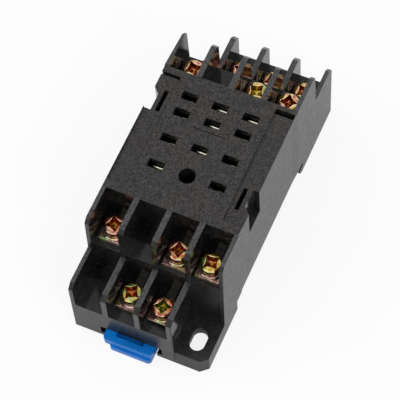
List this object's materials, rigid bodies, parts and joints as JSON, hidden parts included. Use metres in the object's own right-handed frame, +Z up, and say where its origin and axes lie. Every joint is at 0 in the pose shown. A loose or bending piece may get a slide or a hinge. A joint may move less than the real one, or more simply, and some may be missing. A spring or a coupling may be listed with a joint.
{
  "type": "relay socket",
  "caption": "Screw-terminal relay socket with blade slots, stepped wire bays at both ends, two panel ears and a sprung latch for a top-hat rail.",
  "frame": {"origin": "on the plane the feet stand on, in the middle of the whole footprint, latch included", "axes": "+Y along the socket, away from the latch; +Z up, out of the relay platform; +X to the right as seen from the latch"},
  "size_m": [0.0296, 0.0698, 0.0285],
  "materials": {
    "black_moulding": "fine mottled moulded surface",
    "blue_moulding": "smooth moulded blue",
    "chromated_screw": "yellow chromate with red and green tints",
    "chromated_clamp": "yellow chromate with red and green tints",
    "plated_strip": "bright nickel plate",
    "contact_metal": "bright plated spring sheet",
    "plain_steel": "plain bright steel"
  },
  "bodies": {
    "housing_body": {"housing": "black_moulding", "base_plate": "black_moulding", "base_screw": "plain_steel", "latch_spring": "plain_steel", "terminal_strip_1": "plated_strip", "terminal_strip_2": "plated_strip", "terminal_strip_3": "plated_strip", "terminal_strip_4": "plated_strip", "terminal_strip_5": "plated_strip", "terminal_strip_6": "plated_strip", "terminal_strip_7": "plated_strip", "terminal_strip_8": "plated_strip", "terminal_strip_9": "plated_strip", "terminal_strip_10": "plated_strip", "terminal_strip_11": "plated_strip", "contact_spring_1": "contact_metal", "contact_spring_2": "contact_metal", "contact_spring_3": "contact_metal", "contact_spring_4": "contact_metal", "contact_spring_5": "contact_metal", "contact_spring_6": "contact_metal", "contact_spring_7": "contact_metal", "contact_spring_8": "contact_metal", "contact_spring_9": "contact_metal", "contact_spring_10": "contact_metal", "contact_spring_11": "contact_metal"},
    "latch_body": {"rail_latch": "blue_moulding"},
    "clamp_1": {"clamp_plate_1": "chromated_clamp"},
    "screw_1": {"terminal_screw_1": "chromated_screw"},
    "clamp_2": {"clamp_plate_2": "chromated_clamp"},
    "screw_2": {"terminal_screw_2": "chromated_screw"},
    "clamp_3": {"clamp_plate_3": "chromated_clamp"},
    "screw_3": {"terminal_screw_3": "chromated_screw"},
    "clamp_4": {"clamp_plate_4": "chromated_clamp"},
    "screw_4": {"terminal_screw_4": "chromated_screw"},
    "clamp_5": {"clamp_plate_5": "chromated_clamp"},
    "screw_5": {"terminal_screw_5": "chromated_screw"},
    "clamp_6": {"clamp_plate_6": "chromated_clamp"},
    "screw_6": {"terminal_screw_6": "chromated_screw"},
    "clamp_7": {"clamp_plate_7": "chromated_clamp"},
    "screw_7": {"terminal_screw_7": "chromated_screw"},
    "clamp_8": {"clamp_plate_8": "chromated_clamp"},
    "screw_8": {"terminal_screw_8": "chromated_screw"},
    "clamp_9": {"clamp_plate_9": "chromated_clamp"},
    "screw_9": {"terminal_screw_9": "chromated_screw"},
    "clamp_10": {"clamp_plate_10": "chromated_clamp"},
    "screw_10": {"terminal_screw_10": "chromated_screw"},
    "clamp_11": {"clamp_plate_11": "chromated_clamp"},
    "screw_11": {"terminal_screw_11": "chromated_screw"}
  },
  "joints": [
    {"name": "latch_pull", "type": "slide", "parent": "housing_body", "child": "latch_body", "axis": [0, -1, 0], "range_m": [0, 0.003], "stiffness_N_per_m": 800, "springref_m": -0.002, "deforming": ["latch_spring"]},
    {"name": "clamp_lift_1", "type": "slide", "parent": "housing_body", "child": "clamp_1", "axis": [0, 0, 1], "range_m": [0, 0.0025]},
    {"name": "screw_turn_1", "type": "hinge", "parent": "clamp_1", "child": "screw_1", "pos_m": [-0.01065, 0.02105, 0.0204], "axis": [0, 0, 1], "range_deg": [0, 1800]},
    {"name": "clamp_lift_2", "type": "slide", "parent": "housing_body", "child": "clamp_2", "axis": [0, 0, 1], "range_m": [0, 0.0025]},
    {"name": "screw_turn_2", "type": "hinge", "parent": "clamp_2", "child": "screw_2", "pos_m": [0.00355, 0.02105, 0.0204], "axis": [0, 0, 1], "range_deg": [0, 1800]},
    {"name": "clamp_lift_3", "type": "slide", "parent": "housing_body", "child": "clamp_3", "axis": [0, 0, 1], "range_m": [0, 0.0025]},
    {"name": "screw_turn_3", "type": "hinge", "parent": "clamp_3", "child": "screw_3", "pos_m": [0.01065, 0.02105, 0.0204], "axis": [0, 0, 1], "range_deg": [0, 1800]},
    {"name": "clamp_lift_4", "type": "slide", "parent": "housing_body", "child": "clamp_4", "axis": [0, 0, 1], "range_m": [0, 0.0025]},
    {"name": "screw_turn_4", "type": "hinge", "parent": "clamp_4", "child": "screw_4", "pos_m": [-0.00355, 0.02945, 0.0117], "axis": [0, 0, 1], "range_deg": [0, 1800]},
    {"name": "clamp_lift_5", "type": "slide", "parent": "housing_body", "child": "clamp_5", "axis": [0, 0, 1], "range_m": [0, 0.0025]},
    {"name": "screw_turn_5", "type": "hinge", "parent": "clamp_5", "child": "screw_5", "pos_m": [0.00355, 0.02945, 0.0117], "axis": [0, 0, 1], "range_deg": [0, 1800]},
    {"name": "clamp_lift_6", "type": "slide", "parent": "housing_body", "child": "clamp_6", "axis": [0, 0, 1], "range_m": [0, 0.0025]},
    {"name": "screw_turn_6", "type": "hinge", "parent": "clamp_6", "child": "screw_6", "pos_m": [0.01065, 0.02945, 0.0117], "axis": [0, 0, 1], "range_deg": [0, 1800]},
    {"name": "clamp_lift_7", "type": "slide", "parent": "housing_body", "child": "clamp_7", "axis": [0, 0, 1], "range_m": [0, 0.0025]},
    {"name": "screw_turn_7", "type": "hinge", "parent": "clamp_7", "child": "screw_7", "pos_m": [-0.01065, -0.01815, 0.0204], "axis": [0, 0, 1], "range_deg": [0, 1800]},
    {"name": "clamp_lift_8", "type": "slide", "parent": "housing_body", "child": "clamp_8", "axis": [0, 0, 1], "range_m": [0, 0.0025]},
    {"name": "screw_turn_8", "type": "hinge", "parent": "clamp_8", "child": "screw_8", "pos_m": [0.00355, -0.01855, 0.0204], "axis": [0, 0, 1], "range_deg": [0, 1800]},
    {"name": "clamp_lift_9", "type": "slide", "parent": "housing_body", "child": "clamp_9", "axis": [0, 0, 1], "range_m": [0, 0.0025]},
    {"name": "screw_turn_9", "type": "hinge", "parent": "clamp_9", "child": "screw_9", "pos_m": [0.01065, -0.01855, 0.0204], "axis": [0, 0, 1], "range_deg": [0, 1800]},
    {"name": "clamp_lift_10", "type": "slide", "parent": "housing_body", "child": "clamp_10", "axis": [0, 0, 1], "range_m": [0, 0.0025]},
    {"name": "screw_turn_10", "type": "hinge", "parent": "clamp_10", "child": "screw_10", "pos_m": [-0.00355, -0.02695, 0.0117], "axis": [0, 0, 1], "range_deg": [0, 1800]},
    {"name": "clamp_lift_11", "type": "slide", "parent": "housing_body", "child": "clamp_11", "axis": [0, 0, 1], "range_m": [0, 0.0025]},
    {"name": "screw_turn_11", "type": "hinge", "parent": "clamp_11", "child": "screw_11", "pos_m": [0.00355, -0.02745, 0.0117], "axis": [0, 0, 1], "range_deg": [0, 1800]}
  ],
  "couplings": [
    {"joint": "screw_turn_1", "follows": "clamp_lift_1", "rad_per_m": 12566},
    {"joint": "screw_turn_2", "follows": "clamp_lift_2", "rad_per_m": 12566},
    {"joint": "screw_turn_3", "follows": "clamp_lift_3", "rad_per_m": 12566},
    {"joint": "screw_turn_4", "follows": "clamp_lift_4", "rad_per_m": 12566},
    {"joint": "screw_turn_5", "follows": "clamp_lift_5", "rad_per_m": 12566},
    {"joint": "screw_turn_6", "follows": "clamp_lift_6", "rad_per_m": 12566},
    {"joint": "screw_turn_7", "follows": "clamp_lift_7", "rad_per_m": 12566},
    {"joint": "screw_turn_8", "follows": "clamp_lift_8", "rad_per_m": 12566},
    {"joint": "screw_turn_9", "follows": "clamp_lift_9", "rad_per_m": 12566},
    {"joint": "screw_turn_10", "follows": "clamp_lift_10", "rad_per_m": 12566},
    {"joint": "screw_turn_11", "follows": "clamp_lift_11", "rad_per_m": 12566}
  ]
}
